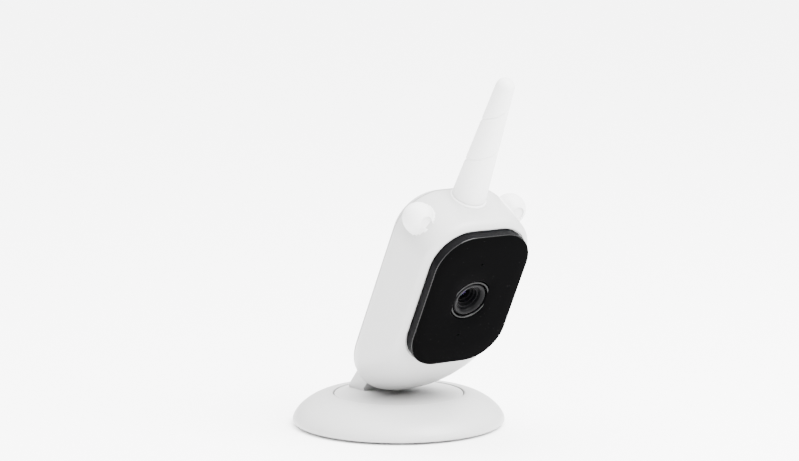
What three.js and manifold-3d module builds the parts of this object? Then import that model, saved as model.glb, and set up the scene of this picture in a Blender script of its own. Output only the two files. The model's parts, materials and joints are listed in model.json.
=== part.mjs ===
// Baby monitor camera: a unicorn shaped head on a neck and a round weighted base.
// Millimetres, +Z up, the head looks along -Y, the origin is under the middle of the rubber foot pad.
import * as THREE from 'three';
import { mergeVertices } from 'three/addons/utils/BufferGeometryUtils.js';
import Module from 'manifold-3d';

const wasm = await Module();
wasm.setup();

const GAP = 0.3;                       // running or fitting gap between two pieces
const DEGREE = Math.PI / 180;

// ---- base -------------------------------------------------------------------------------------
const PAD = { radius: 38, top: 1.2 };
const BASE = {
  radius: 45, bottom: 1.0, wall: 2.2,
  domeCentre: 29, domeWide: 16, domeFoot: 2.5, domeHigh: 11.2, domeBulge: 1.6,   // 2 would be an ellipse
  lip: 29.4, lipCorner: [28.5, 13.7], bossTop: 11.3,
  tableWell: 27.9, wellTop: 13.4, shelfTop: 9.6, shelfBottom: 7.6, hubHole: 8.4,
};
const PLATE = { radius: 42.5, recessTop: 1.5, top: 4.0 };
const BASE_SCREWS = { circle: 33, count: 3, firstAngle: 90, boss: 3.0 };
const TABLE = { radius: 27.4, bottom: 10.0, top: 13.4, hub: 8.0, hubBottom: 7.3 };
const NECK_SCREW = { x: 5.5, y: 16, sink: 2.4, clear: 1.5 };
const SCREW_HOLE = 1.4;                // a hole that a screw's shank bites in

// ---- neck and tilt pivot ----------------------------------------------------------------------
const PIVOT = { y: 0, z: 32, barrel: 5.5, bore: 1.8 };
const NECK = { halfWidth: 11, cheek: 3, frontFoot: 10.4, backFoot: 21.6, foot: TABLE.top + GAP, floor: 17.0 };
const TILT_UP = 40 * DEGREE;           // the head's reach above its rest position
const TILT_DOWN = 12 * DEGREE;

// ---- head, in its own frame: origin at the middle of the flat front, y goes back, z up the face ------
const HEAD = {
  y: -48.1, z: 62.0, lean: 28 * DEGREE,
  frontHalf: 26.0, rearHalf: 27.0, frontTop: 35.3, rearTop: 36.8, frontBottom: 31.1, rearBottom: 69.3,
  frontCorner: 19.2, rearTopCorner: 19.5, rearBottomCorner: 27.0,
  depth: 33.2, frontRound: 3.3, rearRound: 13.4, roll: 1.66, wall: 2.2,
  frontWall: 3.0, seam: 26.3,          // the seam between the front housing and the back cover
};
const PANEL = {
  halfWidth: 23.05, halfHeight: 31.95, corner: 15.7, proud: 3.7, back: 0.5, window: [17, 27, 11],
};
const LENS = { hole: 9.3, ringOut: 9.0, ringIn: 8.2, barrel: 7.9, mouth: 5.5, throat: 3.2, stem: 5.0 };
const SENSOR_Z = 17.8;                 // the light sensor sits this far above the lens, the microphone below
const ANTENNA = {
  y: 17.4, z: 36.2, lean: 0.5 * DEGREE, root: 7.2, tip: 3.9, length: 57.3, stub: 4.4, stubLength: 5,
};
const EAR = { x: 23.1, y: 16.5, z: 29.3, radius: 6.5, peg: 2.4, pegLength: 7, dish: 2.9, dishDepth: 1.1 };
const COVER_SCREWS = [[20.3, 20], [-20.3, 20], [19.3, -33], [-19.3, -33]];
const COVER_SCREW = { top: 29.3, headHeight: 1.3, seat: 27.7, tube: 2.7, boss: 3.6 };
const LIP = { length: 2.4, thick: 1.1, root: 1.2, pocket: 3.1 };     // slides inside the front housing
const PIVOT_RIB = { inner: 12.3, outer: 15, front: 24.4, reach: 7.6 };
const PIN = { radius: 1.5, head: 2.4, inner: 15.3, pocket: 3.1 };

const SPEAKER = { z: 9, radius: 11, front: 30.5, thick: 6 };       // front is the face towards the grille
const BUTTON = { x: -6.5, z: -11, radius: 3.2, flange: 4.2, travel: 0.8 };
const SLIDER = { x: 6.0, z: -11, travel: 3.0 };
const INLET = { z: -23.5, halfWidth: 4.5, halfHeight: 1.65 };

const PLASTIC = { white: 0xf3f2f0, grey: 0xcfcfce, black: 0x101012, ring: 0x2a2a2d };
function paint(color, roughness, metalness = 0) {
  return new THREE.MeshStandardMaterial({ color, roughness, metalness });
}

const MATERIAL = {
  white: paint(PLASTIC.white, 0.45), black: paint(PLASTIC.black, 0.12), ring: paint(PLASTIC.ring, 0.35),
  rubber: paint(0x8a8a8a, 0.85), steel: paint(0xb9bcc0, 0.3, 1), board: paint(0x1d5a35, 0.5),
  chip: paint(0x1c1c1e, 0.5), glass: paint(0x1a1428, 0.05), led: paint(0x3a2a4a, 0.2),
  brass: paint(0xb58a3c, 0.35, 1), grey: paint(PLASTIC.grey, 0.5),
};

// ---- solids -----------------------------------------------------------------------------------
function solid(geometry) {
  const bare = geometry.clone();
  bare.deleteAttribute('normal');
  bare.deleteAttribute('uv');
  const merged = mergeVertices(bare, 1e-4);
  return new wasm.Manifold(new wasm.Mesh({
    numProp: 3,
    vertProperties: new Float32Array(merged.attributes.position.array),
    triVerts: new Uint32Array(merged.index.array),
  }));
}

function geometryOf(manifold) {
  const mesh = manifold.getMesh();
  const geometry = new THREE.BufferGeometry();
  geometry.setAttribute('position', new THREE.BufferAttribute(new Float32Array(mesh.vertProperties), 3));
  geometry.setIndex(new THREE.BufferAttribute(new Uint32Array(mesh.triVerts), 1));
  geometry.computeVertexNormals();
  return geometry;
}

const block = (x, y, z) => solid(new THREE.BoxGeometry(x[1] - x[0], y[1] - y[0], z[1] - z[0])
  .translate((x[0] + x[1]) / 2, (y[0] + y[1]) / 2, (z[0] + z[1]) / 2));
const cylinder = (radius, length, sides) => new THREE.CylinderGeometry(radius, radius, length, sides);
const alongY = (radius, from, to, x, z, sides = 10) => solid(cylinder(radius, to - from, sides)
  .translate(x, (from + to) / 2, z));
const alongZ = (radius, from, to, x, y, sides = 24) => solid(cylinder(radius, to - from, sides)
  .rotateX(Math.PI / 2).translate(x, y, (from + to) / 2));
const alongX = (radius, from, to, y, z, sides = 12) => solid(cylinder(radius, to - from, sides)
  .rotateZ(Math.PI / 2).translate((from + to) / 2, y, z));

// A profile of [radius, height] pairs turned about +Z.
function turned(profile, sides = 32) {
  const points = profile.map(([radius, height]) => new THREE.Vector2(radius, height));
  return new THREE.LatheGeometry(points, sides).rotateX(Math.PI / 2);
}

// A profile of [radius, depth] pairs turned about the head's own y axis.
function turnedAlongY(profile, sides = 28) {
  return new THREE.LatheGeometry(profile.map(([radius, depth]) => new THREE.Vector2(radius, depth)), sides);
}

// A lathe needs its profile to run so that the faces point out; this turns it round when they don't.
function outward(geometry) {
  const position = geometry.attributes.position;
  const index = geometry.index;
  const a = new THREE.Vector3();
  const b = new THREE.Vector3();
  const c = new THREE.Vector3();
  let volume = 0;
  for (let i = 0; i < index.count; i += 3) {
    a.fromBufferAttribute(position, index.getX(i));
    b.fromBufferAttribute(position, index.getX(i + 1));
    c.fromBufferAttribute(position, index.getX(i + 2));
    volume += a.dot(b.cross(c));
  }
  if (volume < 0) index.array.reverse();
  return geometry;
}

function roundedRectangle(halfWidth, halfHeight, corner) {
  const shape = new THREE.Shape();
  shape.absarc(halfWidth - corner, halfHeight - corner, corner, 0, Math.PI / 2);
  shape.absarc(corner - halfWidth, halfHeight - corner, corner, Math.PI / 2, Math.PI);
  shape.absarc(corner - halfWidth, corner - halfHeight, corner, Math.PI, 1.5 * Math.PI);
  shape.absarc(halfWidth - corner, corner - halfHeight, corner, 1.5 * Math.PI, 2 * Math.PI);
  shape.closePath();
  return shape;
}

// Extrudes a shape drawn in x and z along the head's y axis, from one depth to another.
function slab(shape, from, to, curveSegments = 8) {
  const geometry = new THREE.ExtrudeGeometry(shape, { depth: to - from, bevelEnabled: false, curveSegments });
  return geometry.rotateX(Math.PI / 2).translate(0, to, 0);
}

// ---- the head's outer form --------------------------------------------------------------------
// The outline at one depth: a rounded rectangle whose bottom rolls from the short flat front to the long
// round rear. Wall is how far inside the outer surface the outline runs.
function headOutline(depth, wall, cornerSteps = 6) {
  const t = THREE.MathUtils.clamp(depth / HEAD.depth, 0, 1);
  const grow = (1 - (1 - t) ** HEAD.roll) ** (1 / HEAD.roll);
  const mix = (front, rear) => front + (rear - front) * grow;
  let inset = wall;
  const front = (HEAD.frontRound - depth) / (HEAD.frontRound - wall);
  if (front > 0) inset += (HEAD.frontRound - wall) * (1 - Math.sqrt(Math.max(0, 1 - front * front)));
  const rear = (depth - HEAD.depth + HEAD.rearRound) / (HEAD.rearRound - wall);
  if (rear > 0) inset += (HEAD.rearRound - wall) * (1 - Math.sqrt(Math.max(0, 1 - rear * rear)));
  const half = mix(HEAD.frontHalf, HEAD.rearHalf) - inset;
  const top = mix(HEAD.frontTop, HEAD.rearTop) - inset;
  const bottom = mix(HEAD.frontBottom, HEAD.rearBottom) - inset;
  const topCorner = Math.min(mix(HEAD.frontCorner, HEAD.rearTopCorner) - inset, half - 0.05);
  const bottomCorner = Math.min(mix(HEAD.frontCorner, HEAD.rearBottomCorner) - inset, half - 0.05);
  const corners = [[1, 1, top, topCorner], [-1, 1, top, topCorner], [-1, -1, bottom, bottomCorner],
    [1, -1, bottom, bottomCorner]];
  const points = [];
  corners.forEach(([sideX, sideZ, reach, radius], corner) => {
    for (let step = 0; step <= cornerSteps; step++) {
      const angle = (corner + step / cornerSteps) * Math.PI / 2;
      points.push([sideX * (half - radius) + radius * Math.cos(angle),
        sideZ * (reach - radius) + radius * Math.sin(angle)]);
    }
  });
  return points;
}

// Depths from first to last, closer together over the front and rear rounding.
function headDepths(first, last, wall) {
  const depths = [first];
  const rearStart = HEAD.depth - HEAD.rearRound;
  for (const angle of [35, 65]) {
    depths.push(HEAD.frontRound - (HEAD.frontRound - wall) * Math.cos(angle * DEGREE));
  }
  for (const share of [0, 0.25, 0.6, 1]) depths.push(HEAD.frontRound + (rearStart - HEAD.frontRound) * share);
  for (const angle of [25, 48, 70]) {
    depths.push(rearStart + (HEAD.rearRound - wall) * Math.sin(angle * DEGREE));
  }
  return [...depths.filter((depth) => depth > first + 0.2 && depth < last - 0.02), last].filter(
    (depth, i, all) => i === 0 || depth > all[i - 1] + 0.01);
}

function headForm(wall, first = wall, last = HEAD.depth - wall) {
  const depths = headDepths(first, last, wall);
  const rings = depths.map((depth) => headOutline(depth, wall));
  const count = rings[0].length;
  const positions = [];
  rings.forEach((ring, i) => ring.forEach(([x, z]) => positions.push(x, depths[i], z)));
  positions.push(0, first, 0, 0, last, 0);
  const frontCentre = rings.length * count;
  const index = [];
  for (let k = 0; k < count; k++) {
    const next = (k + 1) % count;
    for (let i = 0; i + 1 < rings.length; i++) {
      const near = i * count;
      const far = near + count;
      index.push(near + k, far + k, far + next, near + k, far + next, near + next);
    }
    const lastRing = (rings.length - 1) * count;
    index.push(frontCentre, k, next, frontCentre + 1, lastRing + next, lastRing + k);
  }
  const geometry = new THREE.BufferGeometry();
  geometry.setAttribute('position', new THREE.Float32BufferAttribute(positions, 3));
  geometry.setIndex(index);
  return solid(outward(geometry));
}

// The pivot in the head's own frame.
const pivotFromHead = new THREE.Vector2(PIVOT.y - HEAD.y, PIVOT.z - HEAD.z)
  .rotateAround(new THREE.Vector2(), -HEAD.lean);
const neckAngle = Math.atan2((NECK.frontFoot + NECK.backFoot) / 2 - PIVOT.y, PIVOT.z - NECK.foot);
const neckFromFace = neckAngle - HEAD.lean;

// Room for the neck over the whole tilt: a round pocket for its barrel and a wedge down and back.
function neckRoom() {
  const room = PIVOT.barrel + 0.9;
  const reach = 32;
  const frontSide = neckFromFace - TILT_DOWN;
  const rearSide = neckFromFace + TILT_UP;
  const { x: py, y: pz } = pivotFromHead;
  const down = (angle) => [reach * Math.sin(angle), -reach * Math.cos(angle)];
  const shape = new THREE.Shape();
  shape.absarc(py, pz, room, rearSide, Math.PI + frontSide);
  shape.lineTo(py - room * Math.cos(frontSide), pz - room * Math.sin(frontSide));
  const [fy, fz] = down(frontSide);
  shape.lineTo(py - room * Math.cos(frontSide) + fy, pz - room * Math.sin(frontSide) + fz);
  const [ry, rz] = down(rearSide);
  shape.lineTo(py + room * Math.cos(rearSide) + ry, pz + room * Math.sin(rearSide) + rz);
  shape.lineTo(py + room * Math.cos(rearSide), pz + room * Math.sin(rearSide));
  shape.closePath();
  return solid(acrossX(shape, NECK.halfWidth + 1.2, 16));
}

// Extrudes a shape drawn in y and z across x, evenly to both sides.
function acrossX(shape, halfWidth, curveSegments = 8) {
  const depth = 2 * halfWidth;
  const geometry = new THREE.ExtrudeGeometry(shape, { depth, bevelEnabled: false, curveSegments });
  const turn = new THREE.Matrix4().makeBasis(
    new THREE.Vector3(0, 1, 0), new THREE.Vector3(0, 0, 1), new THREE.Vector3(1, 0, 0));
  return geometry.applyMatrix4(turn).translate(-halfWidth, 0, 0);
}

// ---- base pieces --------------------------------------------------------------------------------
// The dome's section between two radii; shrink is how far inside the outer surface it runs.
function domeArc(shrink, fromRadius, toRadius, steps) {
  const wide = BASE.domeWide - shrink;
  const high = BASE.domeHigh - shrink;
  const start = Math.asin(Math.min(1, (fromRadius - BASE.domeCentre) / wide));
  const end = Math.asin(Math.min(1, (toRadius - BASE.domeCentre) / wide));
  return Array.from({ length: steps + 1 }, (_, i) => {
    const share = Math.min(1, Math.sin(start + (end - start) * i / steps));
    const rise = Math.max(0, 1 - share ** BASE.domeBulge) ** (1 / BASE.domeBulge);
    return [BASE.domeCentre + wide * share, BASE.domeFoot + high * rise];
  });
}

const screwPlaces = Array.from({ length: BASE_SCREWS.count }, (_, i) => {
  const angle = (BASE_SCREWS.firstAngle + i * 360 / BASE_SCREWS.count) * DEGREE;
  return [BASE_SCREWS.circle * Math.cos(angle), BASE_SCREWS.circle * Math.sin(angle)];
});

function baseShell() {
  const foot = 1.5;
  const footArc = [45, 90].map((angle) => [BASE.radius - foot + foot * Math.cos(angle * DEGREE),
    BASE.bottom + foot - foot * Math.sin(angle * DEGREE)]);
  const innerEdge = BASE.domeCentre + BASE.domeWide - BASE.wall;
  const profile = [
    [BASE.hubHole, BASE.shelfTop], [BASE.tableWell, BASE.shelfTop], [BASE.tableWell, BASE.wellTop],
    BASE.lipCorner,
    ...domeArc(0, BASE.lip, BASE.radius, 7), ...footArc, [innerEdge, BASE.bottom],
    ...domeArc(BASE.wall, innerEdge, 30.1, 3), [30.1, BASE.shelfBottom], [BASE.hubHole, BASE.shelfBottom],
    [BASE.hubHole, BASE.shelfTop],
  ];
  let shell = solid(outward(turned(profile, 48)));
  for (const [x, y] of screwPlaces) {
    shell = shell.add(alongZ(BASE_SCREWS.boss, PLATE.top + GAP, BASE.bossTop, x, y, 10));
    shell = shell.subtract(alongZ(SCREW_HOLE, PLATE.top, 9.2, x, y, 8));
  }
  return geometryOf(shell);
}

function basePlate() {
  const profile = [[0, PLATE.recessTop], [PAD.radius + GAP, PLATE.recessTop], [PAD.radius + GAP, BASE.bottom],
    [PLATE.radius, BASE.bottom], [PLATE.radius, 2.6], [41.3, PLATE.top], [0, PLATE.top]];
  let plate = solid(outward(turned(profile)));
  for (const [x, y] of screwPlaces) {
    plate = plate.subtract(alongZ(2.7, 1, 2.9, x, y, 10)).subtract(alongZ(1.5, 2, 5, x, y, 8));
  }
  return geometryOf(plate);
}

// A flat ring between two heights, turned about +Z.
const ring = (inside, outside, low, high, sides) => outward(turned([[inside, low], [outside, low],
  [outside, high], [inside, high], [inside, low]], sides));

const footPad = () => outward(turned([[0, 0], [PAD.radius - 0.4, 0], [PAD.radius, 0.4], [PAD.radius, PAD.top],
  [0, PAD.top]]));

// A pan head screw standing on its head, shank up.
const screw = (head, headHeight, shank, length) => outward(turned([[0, 0], [head - 0.3, 0], [head, 0.3],
  [head, headHeight], [shank, headHeight], [shank, length - 0.6], [0.3, length], [0, length]], 8));

function turntable() {
  const crown = 0.25;                  // the middle of the top stands this much above its edge
  const profile = [[0, TABLE.top + crown], [TABLE.radius / 2, TABLE.top + 0.6 * crown],
    [TABLE.radius - 0.5, TABLE.top], [TABLE.radius, TABLE.top - 0.5], [TABLE.radius, TABLE.bottom],
    [TABLE.hub, TABLE.bottom], [TABLE.hub, TABLE.hubBottom], [SCREW_HOLE, TABLE.hubBottom],
    [SCREW_HOLE, 11.2], [0, 11.2]];
  let table = solid(outward(turned(profile, 48)));
  for (const side of [-1, 1]) {
    table = table.subtract(alongZ(NECK_SCREW.sink, 9, 11.4, side * NECK_SCREW.x, NECK_SCREW.y, 10));
    table = table.subtract(alongZ(NECK_SCREW.clear, 11, 14, side * NECK_SCREW.x, NECK_SCREW.y, 8));
  }
  return geometryOf(table.subtract(block([-NECK.halfWidth - GAP, NECK.halfWidth + GAP],
    [NECK.frontFoot - GAP, NECK.backFoot + GAP], [TABLE.top - 0.2, TABLE.top + 1])));
}

function neckBracket() {
  const foot = NECK.foot - GAP + 0.1;
  const along = new THREE.Vector2(-Math.sin(neckAngle), Math.cos(neckAngle));
  const across = new THREE.Vector2(along.y, -along.x);
  const half = 4.5;
  const shape = new THREE.Shape();
  shape.moveTo(NECK.frontFoot, foot);
  shape.lineTo(NECK.backFoot, foot);
  shape.lineTo(NECK.backFoot, foot + 1.2);
  shape.lineTo(PIVOT.y + across.x * half, PIVOT.z + across.y * half);
  const start = Math.atan2(across.y, across.x);
  shape.absarc(PIVOT.y, PIVOT.z, PIVOT.barrel, start, start + Math.PI);
  shape.lineTo(PIVOT.y - across.x * half, PIVOT.z - across.y * half);
  shape.lineTo(NECK.frontFoot, foot + 1.2);
  shape.closePath();
  const channel = new THREE.Shape();
  const tip = along.clone().multiplyScalar(-9);
  channel.moveTo(NECK.frontFoot - 6, NECK.floor);
  channel.lineTo(NECK.backFoot - 6.4, NECK.floor);
  channel.lineTo(PIVOT.y + tip.x + across.x * 1.2, PIVOT.z + tip.y + across.y * 1.2);
  channel.lineTo(PIVOT.y + tip.x - across.x * 12, PIVOT.z + tip.y - across.y * 12);
  channel.closePath();
  let neck = solid(acrossX(shape, NECK.halfWidth));
  neck = neck.subtract(solid(acrossX(channel, NECK.halfWidth - NECK.cheek)));
  neck = neck.subtract(alongX(PIVOT.bore, -20, 20, PIVOT.y, PIVOT.z));
  for (const side of [-1, 1]) {
    neck = neck.subtract(alongZ(SCREW_HOLE, 12, 16.2, side * NECK_SCREW.x, NECK_SCREW.y, 8));
  }
  return geometryOf(neck);
}

// ---- head shell pieces ----------------------------------------------------------------------------
const outer = headForm(0);
const inner = headForm(HEAD.wall, HEAD.frontWall, HEAD.depth - HEAD.wall);
const room = neckRoom();
const fullDepth = [-60, 60];

// Stands a shape that was turned about +Z where the antenna is.
function antennaAxis(geometry) {
  return geometry.clone().rotateX(-ANTENNA.lean).translate(0, ANTENNA.y, ANTENNA.z);
}

// A plain round bar on the antenna's axis.
const antennaBar = (radius, from, to, sides) => antennaAxis(outward(turned([[0, from], [radius, from],
  [radius, to], [0, to]], sides)));

function earPeg(side, radius, from, to) {
  const inwards = new THREE.Vector3(-side, 0, -1).normalize();
  const peg = new THREE.CylinderGeometry(radius, radius, to - from, 10);
  peg.applyQuaternion(new THREE.Quaternion().setFromUnitVectors(new THREE.Vector3(0, 1, 0), inwards));
  const middle = (from + to) / 2;
  return solid(peg.translate(side * EAR.x + inwards.x * middle, EAR.y, EAR.z + inwards.z * middle));
}

function frontHousing() {
  let shell = outer.subtract(inner);
  for (const [x, z] of COVER_SCREWS) {
    shell = shell.add(alongY(COVER_SCREW.tube, HEAD.frontWall - 1, HEAD.seam - 0.5, x, z).intersect(outer));
    shell = shell.subtract(alongY(SCREW_HOLE, 9, HEAD.seam, x, z, 8));
  }
  shell = shell.subtract(block(fullDepth, [HEAD.seam - GAP / 2, 60], [-90, 60]));
  const recess = roundedRectangle(PANEL.halfWidth + GAP, PANEL.halfHeight + GAP, PANEL.corner + GAP);
  shell = shell.subtract(solid(slab(recess, -5, PANEL.back + GAP)));
  shell = shell.subtract(solid(slab(roundedRectangle(...PANEL.window), -5, 6)));
  shell = shell.subtract(solid(antennaBar(ANTENNA.stub + GAP, -12, 8, 32)));
  for (const side of [-1, 1]) shell = shell.subtract(earPeg(side, EAR.peg + GAP, 0, EAR.pegLength + 4));
  return geometryOf(shell.subtract(room));
}

function outlineShape(points) {
  const shape = new THREE.Shape();
  points.forEach(([x, z], i) => (i ? shape.lineTo(x, z) : shape.moveTo(x, z)));
  shape.closePath();
  return shape;
}

// The straight lip that slides inside the front housing, with room for the screw tubes.
function coverLip() {
  const from = HEAD.seam - LIP.length;
  const to = HEAD.seam + LIP.root;
  const outside = outlineShape(headOutline(HEAD.seam, HEAD.wall + GAP));
  const inside = outlineShape(headOutline(HEAD.seam, HEAD.wall + GAP + LIP.thick));
  let lip = solid(slab(outside, from, to)).subtract(solid(slab(inside, from - 1, to + 1)));
  for (const [x, z] of COVER_SCREWS) lip = lip.subtract(alongY(LIP.pocket, from - 1, HEAD.seam, x, z));
  return lip;
}

function backCover() {
  const start = HEAD.seam + GAP / 2;
  const beyond = HEAD.depth + 6;
  let shell = outer.subtract(inner).subtract(block(fullDepth, [-10, start], [-90, 60])).add(coverLip());
  for (const [x, z] of COVER_SCREWS) {
    shell = shell.add(alongY(COVER_SCREW.boss, start, HEAD.depth, x, z).intersect(outer));
    shell = shell.subtract(alongY(2.5, COVER_SCREW.seat, beyond, x, z));
    shell = shell.subtract(alongY(1.5, 20, 28, x, z, 8));
  }
  const { x: py, y: pz } = pivotFromHead;
  for (const side of [-1, 1]) {
    const across = [side * PIVOT_RIB.inner, side * PIVOT_RIB.outer].sort((a, b) => a - b);
    const rib = block(across, [PIVOT_RIB.front, 34], [pz - PIVOT_RIB.reach, pz + PIVOT_RIB.reach]);
    shell = shell.add(rib.intersect(outer));
  }
  shell = shell.subtract(room).subtract(alongX(PIVOT.bore, -15.2, 15.2, py, pz));
  for (const side of [-1, 1]) {
    const [from, to] = [side * 15.05, side * 17].sort((a, b) => a - b);
    shell = shell.subtract(alongX(PIN.pocket, from, to, py, pz));
  }
  return geometryOf(openCover(shell, 28, beyond));
}

// The openings in the back: the speaker's holes, the button's hole, the switch's slot and the inlet.
function openCover(cover, from, to) {
  let shell = cover;
  for (const [circle, count] of [[0, 1], [4.5, 6]]) {
    for (let i = 0; i < count; i++) {
      const angle = 2 * Math.PI * i / count;
      const [x, z] = [circle * Math.cos(angle), SPEAKER.z + circle * Math.sin(angle)];
      shell = shell.subtract(alongY(1.0, from, to, x, z, 6));
    }
  }
  shell = shell.subtract(alongY(BUTTON.radius + GAP, from, to, BUTTON.x, BUTTON.z, 16));
  shell = shell.subtract(block([SLIDER.x - 1.8, SLIDER.x + SLIDER.travel + 1.8], [from, to],
    [SLIDER.z - 1.7, SLIDER.z + 1.7]));
  return shell.subtract(block([-INLET.halfWidth - GAP, INLET.halfWidth + GAP], [from, to],
    [INLET.z - INLET.halfHeight - GAP, INLET.z + INLET.halfHeight + GAP]));
}

const swollen = headForm(-GAP);

function ear(side) {
  let cap = solid(new THREE.SphereGeometry(EAR.radius, 18, 12).translate(side * EAR.x, EAR.y, EAR.z));
  const front = EAR.y - EAR.radius;
  const dish = alongY(EAR.dish, front - 1, front + EAR.dishDepth, side * EAR.x, EAR.z, 16);
  cap = cap.subtract(dish).subtract(swollen);
  const peg = earPeg(side, EAR.peg, -3, EAR.pegLength);
  return geometryOf(cap.add(peg));
}

function antennaCover() {
  const bore = 1.8;
  const profile = [[0, 44], [bore, 44], [bore, -ANTENNA.stubLength], [ANTENNA.stub, -ANTENNA.stubLength],
    [ANTENNA.stub, 1.1], [ANTENNA.root, 1.9], [ANTENNA.root - 0.05, 3]];
  const bodyTop = ANTENNA.length - ANTENNA.tip;
  for (const angle of [0, 30, 60]) {
    profile.push([ANTENNA.tip * Math.cos(angle * DEGREE), bodyTop + ANTENNA.tip * Math.sin(angle * DEGREE)]);
  }
  profile.push([0, ANTENNA.length]);
  return antennaAxis(outward(turned(profile, 24)));
}

// A soft bead round the horn's foot, cut to the head's surface.
function antennaCollar() {
  const bead = [];
  const steps = 8;
  for (let i = 0; i <= steps; i++) {
    const angle = 2 * Math.PI * i / steps;
    bead.push([ANTENNA.root + 1.2 * Math.cos(angle), 0.4 + 1.1 * Math.sin(angle)]);
  }
  const hole = ANTENNA.stub + GAP;
  const horn = outward(turned([[0, -9], [hole, -9], [hole, 1.4], [ANTENNA.root + 3, 1.7],
    [ANTENNA.root + 3, 9], [0, 9]], 24));
  const collar = solid(antennaAxis(outward(turned(bead, 24))));
  return geometryOf(collar.subtract(swollen).subtract(solid(antennaAxis(horn))));
}

// ---- lens and electronics -------------------------------------------------------------------------
function facePanel() {
  const shape = roundedRectangle(PANEL.halfWidth - 0.5, PANEL.halfHeight - 0.5, PANEL.corner - 0.5);
  const bevel = 0.5;
  const plate = new THREE.ExtrudeGeometry(shape, {
    depth: PANEL.proud + PANEL.back - 2 * bevel,
    bevelEnabled: true, bevelThickness: bevel, bevelSize: bevel, bevelSegments: 1, curveSegments: 8,
  });
  plate.rotateX(Math.PI / 2).translate(0, PANEL.back - bevel, 0);
  let panel = solid(plate).subtract(alongY(LENS.hole, -6, 3, 0, 0, 32));
  for (const z of [SENSOR_Z, -SENSOR_Z]) panel = panel.subtract(alongY(0.55, -6, 3, 0, z, 6));
  return geometryOf(panel);
}

const lensRing = () => outward(turnedAlongY([[LENS.ringIn, -3.4], [LENS.ringIn + 0.4, -3.7],
  [LENS.ringOut, -3.4], [LENS.ringOut, 1.2], [LENS.ringIn, 1.2], [LENS.ringIn, -3.4]], 32));
const lensBarrel = () => outward(turnedAlongY([[LENS.mouth, -2.6], [LENS.mouth + 0.5, -3.3],
  [LENS.barrel - 1, -3.5], [LENS.barrel - 0.3, -3.2], [LENS.barrel, -2.4], [LENS.barrel, 4], [LENS.stem, 4],
  [LENS.stem, 12.6], [LENS.throat, 12.6], [LENS.throat, 2.2], [LENS.mouth, -2.6]], 32));
const lensGlass = () => outward(turnedAlongY([[0, 2.3], [1.5, 2.6], [2.9, 3.6], [2.9, 5.2], [0, 5.2]], 20));
const rearGlass = () => outward(turnedAlongY([[0, 8.6], [2.9, 9.4], [2.9, 11], [0, 11]], 16));

function lensHolder() {
  return geometryOf(block([-8, 8], [6.6, 13], [-8, 8]).subtract(alongY(LENS.stem + GAP, 0, 14, 0, 0, 20)));
}

function ledBoard() {
  let board = solid(slab(roundedRectangle(16.4, 26, 9), 4.6, 5.8));
  board = board.subtract(alongY(LENS.barrel + GAP, 0, 8, 0, 0, 24));
  return geometryOf(board);
}

const led = () => outward(turnedAlongY([[0, 1.2], [0.9, 1.5], [1.5, 2.4], [1.5, 3.8], [1.8, 3.8], [1.8, 4.3],
  [0, 4.3]], 10));
const box = (x, y, z) => geometryOf(block(x, y, z));

function pairButton() {
  const reach = HEAD.depth + 0.8;
  const cap = outward(turnedAlongY([[0, 29.6], [BUTTON.flange, 29.6], [BUTTON.flange, 30.6],
    [BUTTON.radius, 30.6],
    [BUTTON.radius, reach - 0.5], [BUTTON.radius - 0.5, reach], [0, reach]], 16));
  return cap.translate(BUTTON.x, 0, BUTTON.z);
}

function switchKnob() {
  const { x, z } = SLIDER;
  const cap = block([x - 1.4, x + 1.4], [29.2, HEAD.depth + 0.8], [z - 1.3, z + 1.3]);
  const flange = block([x - 2.6, x + 2.6], [28.2, 29.8], [z - 2, z + 2]);
  return geometryOf(cap.add(flange));
}

function inletSocket() {
  const shell = block([-INLET.halfWidth, INLET.halfWidth], [25.2, 32.9],
    [INLET.z - INLET.halfHeight, INLET.z + INLET.halfHeight]);
  const mouth = block([-4.1, 4.1], [26.2, 34], [INLET.z - 1.25, INLET.z + 1.25]);
  const tongue = block([-3.2, 3.2], [25.6, 31.6], [INLET.z - 0.35, INLET.z + 0.35]);
  return geometryOf(shell.subtract(mouth).add(tongue));
}

function speaker() {
  const { radius, front, thick } = SPEAKER;
  const profile = [[0, front - thick], [6, front - thick], [6, front - 3], [radius, front - 2],
    [radius, front],
    [radius - 1, front], [4, front - 1.2], [0, front - 0.6]];
  return outward(turnedAlongY(profile, 24)).translate(0, 0, SPEAKER.z);
}

// ---- assembly ------------------------------------------------------------------------------------
const camera = new THREE.Group();
const head = new THREE.Group();
head.position.set(0, HEAD.y, HEAD.z);
head.rotation.x = HEAD.lean;
camera.add(head);

function put(parent, name, geometry, material, x = 0, y = 0, z = 0) {
  const mesh = new THREE.Mesh(geometry, material);
  mesh.name = name;
  mesh.position.set(x, y, z);
  parent.add(mesh);
  return mesh;
}

put(camera, 'base_shell', baseShell(), MATERIAL.white);
put(camera, 'base_plate', basePlate(), MATERIAL.grey);
put(camera, 'rubber_foot_pad', footPad(), MATERIAL.rubber);
put(camera, 'ballast_ring', ring(15, 29.3, 4.3, 7.2), MATERIAL.steel);
screwPlaces.forEach(([x, y], i) => {
  put(camera, `base_screw_${i + 1}`, screw(2.4, 1.2, 1.1, 7), MATERIAL.steel, x, y, 1.65);
});

put(camera, 'turntable', turntable(), MATERIAL.white);
put(camera, 'swivel_retainer', ring(1.7, 13, 5.7, 7.0, 24), MATERIAL.steel);
put(camera, 'swivel_screw', screw(2.6, 1.1, 1.1, 6.2), MATERIAL.steel, 0, 0, 4.3);
put(camera, 'neck_bracket', neckBracket(), MATERIAL.white);
for (const [name, side] of [['left', -1], ['right', 1]]) {
  const x = side * NECK_SCREW.x;
  put(camera, `neck_screw_${name}`, screw(2.1, 0.9, 1.1, 5.4), MATERIAL.steel, x, NECK_SCREW.y, 10.2);
}

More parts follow.
